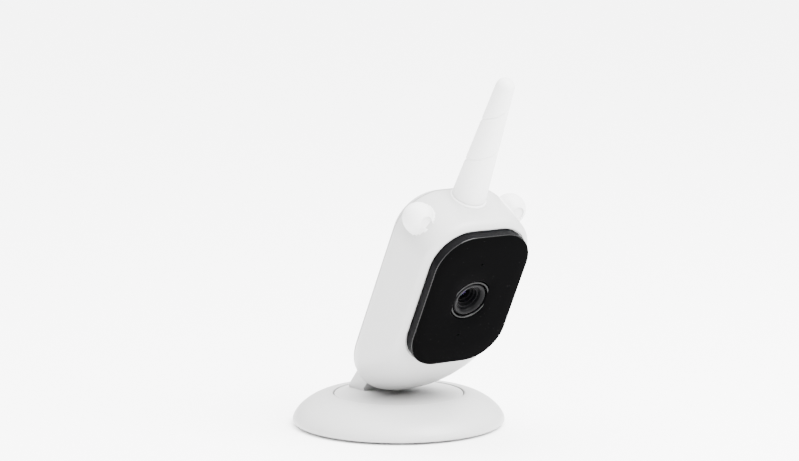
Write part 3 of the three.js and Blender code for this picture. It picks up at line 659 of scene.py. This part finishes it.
def back_cover():
    """The rear shell, with the lip that slides inside the front housing."""
    seam = FORM["seam"] + GAP / 2
    wall = FORM["wall"]
    last = FORM["depth"]
    outer = [head_ring(depth) for depth in form_depths(seam + 0.35, last - 0.01)]
    inner = [head_ring(depth, wall) for depth in reversed(form_depths(seam, last - wall - 0.02))]
    lip = [(wall, 0), (wall + GAP, 0), (wall + GAP, -2.2), (wall + GAP + 0.2, -2.4), (wall + 1.2, -2.4),
           (wall + 1.4, 0)]
    seam_rings = [flat_ring(outline(*head_shape(seam, inset)), seam + back) for inset, back in reversed(lip)]
    outside = [*reversed(edge_rings(seam, 1)), *outer, head_ring(last)]
    shell = lofted("back_cover_shell", [head_ring(last - wall, wall), *inner, *seam_rings, *outside])
    cut(shell, neck_room_tool(), *back_holes())
    return hand_over(shell, "head", WHITE, "white_shell", "back_cover")


# ---- ears and antenna ----------------------------------------------------------------------------
def ear_reach(centre, direction):
    """How far the ear's surface is from its centre: the ball, with a small fillet onto the head."""
    near, far = EAR["radius"] * 0.8, EAR["radius"] + 1.5
    for _ in range(22):
        middle = (near + far) / 2
        x, y, z = centre + direction * middle
        ball = middle - EAR["radius"]
        body = outline_distance(x, z, y) + EAR["sunk"]
        mix = max(EAR["blend"] - abs(ball - body), 0) / EAR["blend"]
        inside = min(ball, body) - mix * mix * EAR["blend"] / 4 < 0
        near, far = (middle, far) if inside else (near, middle)
    return near


def ear(side, name, node):
    """A ball blended into the head's corner, with a shallow round recess in its front."""
    centre = np.array([side * EAR["x"], EAR["y"], EAR["z"]])
    outward = np.array([side * 0.8, 0, 0.6])
    along = np.array([0.0, -1.0, 0.0])
    third = np.cross(outward, along)
    rings = []
    sides, levels = 96, 58
    for level in range(levels + 1):
        polar = math.radians(1 + 119 * level / levels)
        ring = []
        for k in range(sides):
            turn = 2 * math.pi * k / sides
            direction = (outward * math.cos(polar) + along * math.sin(polar) * math.cos(turn)
                         + third * math.sin(polar) * math.sin(turn))
            ring.append(centre + direction * ear_reach(centre, direction))
        rings.append(ring)
    rings.append([point + (centre - point) * 0.25 for point in rings[-1]])
    piece = lofted(name, rings)
    tilted = HEAD @ Matrix.Translation(Vector(centre)) @ Matrix.Rotation(-EAR["recess_up"], 4, "X")
    wide, floor = EAR["recess"], EAR["recess_depth"] - EAR["radius"]
    outside = -9
    path = [(AXIS_POINT, floor), (wide, floor), (wide, outside), (AXIS_POINT, outside)]
    cut(piece, turned("tool", path, tilted, sides=64, along="Y"))
    soften(piece, 0.12, angle=30, segments=2)
    return hand_over(piece, "head", PAINTED_LIGHT_WHITE, "white_shell", node, angle=50)


def antenna_place():
    """The antenna's own frame: its foot on the head and its lean."""
    foot = Matrix.Translation(Vector((0, ANTENNA["y"], ANTENNA["z"])))
    return HEAD @ foot @ Matrix.Rotation(-ANTENNA["lean"], 4, "X")


def circle_ring(radius, height, sides):
    """A ring of points round the antenna's axis."""
    angles = 2 * math.pi * np.arange(sides) / sides
    return np.column_stack([radius * np.cos(angles), radius * np.sin(angles), np.full(sides, height)])


def horn_ring(height, straight, sides):
    """One ring of the horn's straight part, with the winding groove and the rounded foot."""
    foot = max(0.0, 1 - (height - 0.7) / 0.8)
    plain = ANTENNA["root"] + (ANTENNA["tip"] - ANTENNA["root"]) * (height / straight) - 0.5 * foot ** 2
    fade = min(1, max(0, (height - 4) / 6)) * min(1, max(0, (straight + 1 - height) / 5))
    turns = np.arange(sides) / sides
    phase = (height / ANTENNA["pitch"] - turns) % 1
    radius = plain - ANTENNA["groove"] * fade * np.exp(-((phase - 0.5) / ANTENNA["groove_share"]) ** 2)
    return circle_ring(radius, height, sides)


def antenna_horn():
    """A tapered horn with one faint groove winding up it."""
    sides, levels = 120, 320
    straight = ANTENNA["length"] - ANTENNA["tip"]
    stub = [circle_ring(radius, height, sides) for radius, height in ((4.4, -5), (4.4, 0.2), (5.6, 0.6))]
    heights = [0.7, 0.85, 1.1, 1.5, *np.linspace(2.0, straight, levels)]
    cone = [horn_ring(height, straight, sides) for height in heights]
    turns = [math.radians(angle) for angle in range(6, 90, 7)]
    tip = [circle_ring(ANTENNA["tip"] * math.cos(turn), straight + ANTENNA["tip"] * math.sin(turn), sides)
           for turn in turns]
    piece = lofted("horn", [*stub, *cone, *tip], antenna_place())
    return hand_over(piece, "head", PAINTED_LIGHT_WHITE, "white_shell", "antenna_horn", angle=50)


def antenna_collar():
    """The soft bead round the horn's foot."""
    bead, sides = 0.8, 24
    profile = [(ANTENNA["root"] - 0.3 + bead * math.cos(turn), 0.1 + bead * math.sin(turn))
               for turn in np.arange(sides) * 2 * math.pi / sides]
    piece = turned("horn_collar", profile, antenna_place(), closed=True)
    return hand_over(piece, "head", PAINTED_LIGHT_WHITE, "white_shell", "antenna_collar", angle=60)


# ---- window and lens -----------------------------------------------------------------------------
def paint_window(piece, front):
    """Gives the window's rounded front edge a more reflective black, and its side wall a lighter black whose
    tone is a painted reflection.
    """
    piece.data.materials.append(WINDOW_EDGE)
    piece.data.materials.append(WINDOW_SIDE_PAINTED_REFLECTION)
    into_head = HEAD.inverted()
    for face in piece.data.polygons:
        normal = (into_head.to_3x3() @ face.normal).normalized()
        place = into_head @ face.center
        if math.hypot(place.x, place.z) < LENS_HOLE + 4:
            continue
        if front + 0.02 < place.y < front + PANEL_EDGE and -0.95 < normal.y < -0.3:
            face.material_index = 1
        elif place.y > front + PANEL_EDGE and abs(normal.y) < 0.5:
            face.material_index = 2


def face_window():
    """The black window: a thick plate with a rounded front edge and a countersunk hole for the lens."""
    low, high = head_box("face_panel")
    front, back = low[1], high[1]
    rings = [flat_ring(panel_outline(-0.15), back), flat_ring(panel_outline(0), back - 0.15)]
    for angle in (0, 18, 36, 54, 72, 90):
        turn = math.radians(angle)
        shrink, depth = PANEL_EDGE * (1 - math.cos(turn)), PANEL_EDGE * (1 - math.sin(turn))
        rings.append(flat_ring(panel_outline(-shrink), front + depth))
    last = panel_outline(-PANEL_EDGE)
    angles = np.arctan2(last[:, 1], last[:, 0])
    spokes = np.column_stack([np.cos(angles), np.sin(angles)])
    countersink = 0.75
    for share in (0.35, 0.7):
        rings.append(flat_ring(last + (spokes * (LENS_HOLE + countersink) - last) * share, front))
    for inset, depth in ((countersink, 0), (0.5, 0.05), (0.25, 0.18), (0.08, 0.4), (0, 0.7)):
        rings.append(flat_ring(spokes * (LENS_HOLE + inset), front + depth))
    rings.append(flat_ring(spokes * LENS_HOLE, back))
    piece = lofted("face_window", rings, closed=True)
    cut(piece, *[prism("tool", disc_path(0.55, (0, z), 24), front - 1, back + 1, "Y", HEAD)
                 for z in (SENSOR_Z, -SENSOR_Z)])
    hand_over(piece, "head", WINDOW, "black_window", "face_panel", angle=30)
    paint_window(piece, front)
    return piece


def lens_ring():
    """The trim ring between the window and the lens barrel."""
    inner, outer, edge, front, back = 8.2, 9.05, -3.3, -3.62, 1.2
    path = rounded([(inner, edge), (inner + 0.15, front, 0.15), (outer - 0.15, front, 0.2), (outer, edge),
                    (outer, back), (inner, back)])
    piece = turned("lens_trim_ring", path, HEAD, along="Y", closed=True)
    hand_over(piece, "head", TRIM, "lens_black", "lens_ring")


def lens_barrel():
    """The barrel: a rounded front ring and stepped baffles down to the throat."""
    mouth, throat, start, reach, count = 5.35, 3.2, -1.9, 4.1, 3
    steps = []
    for k in range(count):
        near = mouth + (throat - mouth) * k / count
        far = mouth + (throat - mouth) * (k + 1) / count
        depth = start + reach * k / count
        steps += [(near, depth), (near - 0.12, depth + 0.62), (far, depth + 0.70)]
    path = [(7.9, 4.0, 0.2), (7.9, -2.4, 0.9), (7.2, -3.45, 0.5), (6.2, -3.2, 0.5), (5.5, -2.5, 0.4), *steps,
            (throat, 2.4), (throat, 12.6), (5.0, 12.6), (5.0, 4.0)]
    piece = turned("lens_barrel_turned", rounded(path), HEAD, along="Y", closed=True)
    hand_over(piece, "head", LENS_BLACK, "lens_black", "lens_barrel", angle=28)


def front_glass():
    """The domed front lens, seated in the barrel's throat."""
    radius, bulge, back = 2.95, 1.3, 5.2
    crown = [(radius * math.sin(a), 3.5 - bulge * math.cos(a)) for a in np.linspace(0.1, math.pi / 2, 12)]
    path = [(AXIS_POINT, 3.5 - bulge), *crown, (radius, back), (AXIS_POINT, back)]
    piece = turned("front_glass", path, HEAD, along="Y", sides=96)
    hand_over(piece, "head", GLASS, "lens_glass", "lens_front_glass")


# ---- base, turntable and neck --------------------------------------------------------------------
def dome(shrink, start, end, steps):
    """The dome's section between two radii, shrink mm inside its outer surface."""
    wide = world_box("base_shell")[1][0] - BASE["dome_centre"] - shrink
    high = BASE["dome_high"] - shrink
    first, last = (math.asin(min(1, (radius - BASE["dome_centre"]) / wide)) for radius in (start, end))
    points = []
    for angle in np.linspace(first, last, steps):
        share = min(1.0, math.sin(angle))
        rise = max(0.0, 1 - share ** BASE["bulge"]) ** (1 / BASE["bulge"])
        points.append((BASE["dome_centre"] + wide * share, BASE["dome_foot"] + high * rise))
    return points


def base_shell():
    """The domed shell, turned round its well, its outer surface, its foot and its inside."""
    low, high = world_box("base_shell")
    radius, bottom = high[0], low[2]
    inner = radius - BASE["wall"]
    inner_top = 30.1
    foot = 1.5
    foot_arc = [(radius - foot + foot * math.cos(a), bottom + foot - foot * math.sin(a))
                for a in np.linspace(0.2, math.pi / 2, 8)]
    shelf_low, shelf_high = BASE["shelf"]
    top = dome(0, BASE["lip"], radius, 60)
    edge = rounded([(BASE["well"], shelf_high), (BASE["well"], 13.5, 0.3), (28.5, 13.72, 0.8), top[0]],
                   closed=False)
    profile = [(BASE["hub"], shelf_high), *edge[:-1], *top, *foot_arc, (inner, bottom),
               *dome(BASE["wall"], inner, inner_top, 20), (inner_top, shelf_low), (BASE["hub"], shelf_low)]
    piece = turned("base_dome", profile, closed=True, sides=200)
    hand_over(piece, "base", WHITE, "white_shell", "base_shell", angle=30)


def base_plate():
    """The bottom plate, with a shallow recess for the rubber pad."""
    low, high = world_box("base_plate")
    recess, recess_top = world_box("rubber_foot_pad")[1][0] + GAP, 1.5
    profile = rounded([(AXIS_POINT, recess_top), (recess, recess_top, 0.2), (recess, low[2], 0.25),
                       (high[0], low[2], 0.4), (high[0], 2.6, 0.3), (41.3, high[2], 0.3),
                       (AXIS_POINT, high[2])], closed=False)
    piece = turned("bottom_plate", profile, sides=160)
    hand_over(piece, "base", GREY, "grey_plastic", "base_plate")


def foot_pad():
    """The rubber pad, with round grooves in its underside."""
    high = world_box("rubber_foot_pad")[1]
    outer = high[0]
    first, spacing, wide, deep, soft = 4, 5, 0.8, 0.4, 0.15
    grooves = []
    for k in reversed(range(4)):
        edge = outer - first - spacing * k
        grooves += [(edge - wide, 0.0, soft), (edge - wide, deep, soft)]
        grooves += [(edge, deep, soft), (edge, 0.0, soft)]
    profile = rounded([(AXIS_POINT, 0.0), *grooves, (outer, 0.0, 0.35), (outer, high[2], soft),
                       (AXIS_POINT, high[2])], closed=False, steps=3)
    piece = turned("foot_pad", profile, sides=160)
    hand_over(piece, "base", RUBBER, "foot_rubber", "rubber_foot_pad")


def turntable():
    """The turning disc, slightly crowned, with its hub below."""
    low, high = world_box("turntable")
    radius, hub, underside = high[0], 8.0, 10.0
    screw_hole, hole_end = 1.4, 11.2
    crown = 0.25
    top = high[2] - crown
    profile = rounded([(AXIS_POINT, top + crown), (14, top + 0.15), (radius - 2, top + 0.03),
                       (radius, top - 0.05, 0.55), (radius, underside, 0.2), (hub, underside),
                       (hub, low[2], 0.2), (screw_hole, low[2]), (screw_hole, hole_end),
                       (AXIS_POINT, hole_end)], closed=False)
    piece = turned("turntable_disc", profile, sides=200)
    hand_over(piece, "swivel", SATIN_WHITE, "white_shell", "turntable", angle=30)


def neck():
    """The slanted neck: two cheeks and a back wall, rounded over the tilt pin."""
    low, high = world_box("neck_bracket")
    foot, half_width = low[2], high[0]
    pivot = Vector((0, JOINTS["head_tilt"]["pos_m"][2] / MM))
    angle = math.atan2((NECK_FRONT + NECK_BACK) / 2, pivot.y - foot)
    along = Vector((-math.sin(angle), math.cos(angle)))
    across = Vector((along.y, -along.x))
    half, shoulder = 4.5, foot + 1.2
    start = math.atan2(across.y, across.x)
    turns = [start + math.pi * k / 24 for k in range(25)]
    barrel = [(pivot.x + BARREL * math.cos(turn), pivot.y + BARREL * math.sin(turn)) for turn in turns]
    rear = rounded([(NECK_FRONT, foot), (NECK_BACK, foot), (NECK_BACK, shoulder, 1.5),
                    (pivot.x + across.x * half, pivot.y + across.y * half)])
    front = rounded([(pivot.x - across.x * half, pivot.y - across.y * half), (NECK_FRONT, shoulder, 1.5)],
                    closed=False)
    piece = prism("neck_arm", [*rear, *barrel, *front], -half_width, half_width)
    cheek, pin_hole = 3, 1.8
    channel_floor = 17.0
    end = pivot + along * -9
    channel = [(NECK_FRONT - 6, channel_floor), (NECK_BACK - 6.4, channel_floor),
               tuple(end + across * 1.2), tuple(end - across * 12)]
    cut(piece, prism("tool", channel, cheek - half_width, half_width - cheek),
        prism("tool", disc_path(pin_hole, tuple(pivot)), -20, 20))
    soften(piece, 0.45, angle=30)
    hand_over(piece, "swivel", WHITE, "white_shell", "neck_bracket", angle=40)


# ---- controls on the back ------------------------------------------------------------------------
def pair_button():
    """The round pairing button, slightly dished, on its flange."""
    x, z = middle_of("pair_button")
    low, high = head_box("pair_button")
    radius, flange, flange_top = 3.2, 4.2, 30.6
    profile = rounded([(AXIS_POINT, low[1]), (flange, low[1], 0.2), (flange, flange_top, 0.2),
                       (radius, flange_top), (radius, high[1], 0.5), (1.6, high[1] - 0.05, 1.0),
                       (AXIS_POINT, high[1] - 0.25)], closed=False)
    piece = turned("pair_button_cap", profile, HEAD, along="Y", centre=(x, 0, z), sides=72)
    hand_over(piece, "pair_button", GREY, "grey_plastic", "pair_button")


def power_knob():
    """The sliding knob, with three grip grooves, on its flange."""
    x, z = middle_of("power_switch_knob")
    low, high = head_box("power_switch_knob")
    top = high[1]
    knob = prism("power_knob_cap", rectangle(1.4, 1.3, 0.35, (x, z)), 29.0, top, "Y", HEAD)
    grooves = [prism("tool", rectangle(0.18, 2, 0.1, (x + offset, z), 2), top - 0.25, top + 1, "Y", HEAD)
               for offset in (-0.7, 0, 0.7)]
    cut(knob, *grooves)
    flange = prism("tool", rectangle(2.6, 2.0, 0.3, (x, z)), low[1], 29.8, "Y", HEAD)
    cut(knob, flange, operation="UNION")
    soften(knob, 0.08, segments=2)
    hand_over(knob, "power_knob", GREY, "grey_plastic", "power_switch_knob")


def cover_screws():
    """Pan-head screws with a cross slot."""
    shank, head = 1.1, 2.1
    for number, (x, z) in enumerate(COVER_SCREWS, 1):
        node = f"cover_screw_{number}"
        low, high = head_box(node)
        under, rim, top = high[1] - 1.3, high[1] - 0.4, high[1]
        profile = rounded([(AXIS_POINT, low[1]), (0.4, low[1]), (shank, low[1] + 0.6, 0.2), (shank, under),
                           (head, under, 0.15), (head, rim, 0.4), (1.2, top, 0.8), (AXIS_POINT, top)],
                          closed=False)
        piece = turned(f"{node}_cross", profile, HEAD, along="Y", centre=(x, 0, z), sides=48)
        slots = [prism("tool", rectangle(a, b, 0.08, (x, z), 2), top - 0.9, top + 1, "Y", HEAD)
                 for a, b in ((1.15, 0.28), (0.28, 1.15))]
        cut(piece, *slots)
        hand_over(piece, "head", STEEL, "steel", node)


# ---- CAD nodes that stay as they are -------------------------------------------------------------
KEPT = {
    STEEL: ["ballast_ring", "base_screw_1", "base_screw_2", "base_screw_3", "swivel_retainer", "swivel_screw",
            "neck_screw_left", "neck_screw_right", "tilt_pin", "tilt_pin_clip", "wireless_module",
            "microphone", "slide_switch", "inlet_socket"],
    BRASS: ["antenna_element"],
    RUBBER: ["tilt_washer_left", "tilt_washer_right"],
    BOARD: ["led_board", "main_board", "rear_board"],
    CHIP: ["image_sensor", "light_sensor", "processor", "button_switch"],
    CONE: ["speaker"],
    LENS_BLACK: ["lens_holder"],
    GLASS: ["lens_rear_glass"],
    GREY: ["ribbon_cable"],
    LED: [f"infrared_led_{number}" for number in range(1, 7)],
}


def dress_kept_nodes():
    """Materials for the CAD nodes that no modelled piece replaces."""
    for material, names in KEPT.items():
        for name in names:
            node = frame["nodes"][name]
            node.data.materials.clear()
            node.data.materials.append(material)


set_camera()
set_studio()
front_housing()
back_cover()
ear(-1, "ear_left_ball", "left_ear")
ear(1, "ear_right_ball", "right_ear")
antenna_horn()
antenna_collar()
face_window()
lens_ring()
lens_barrel()
front_glass()
base_shell()
base_plate()
foot_pad()
turntable()
neck()
pair_button()
power_knob()
cover_screws()
dress_kept_nodes()
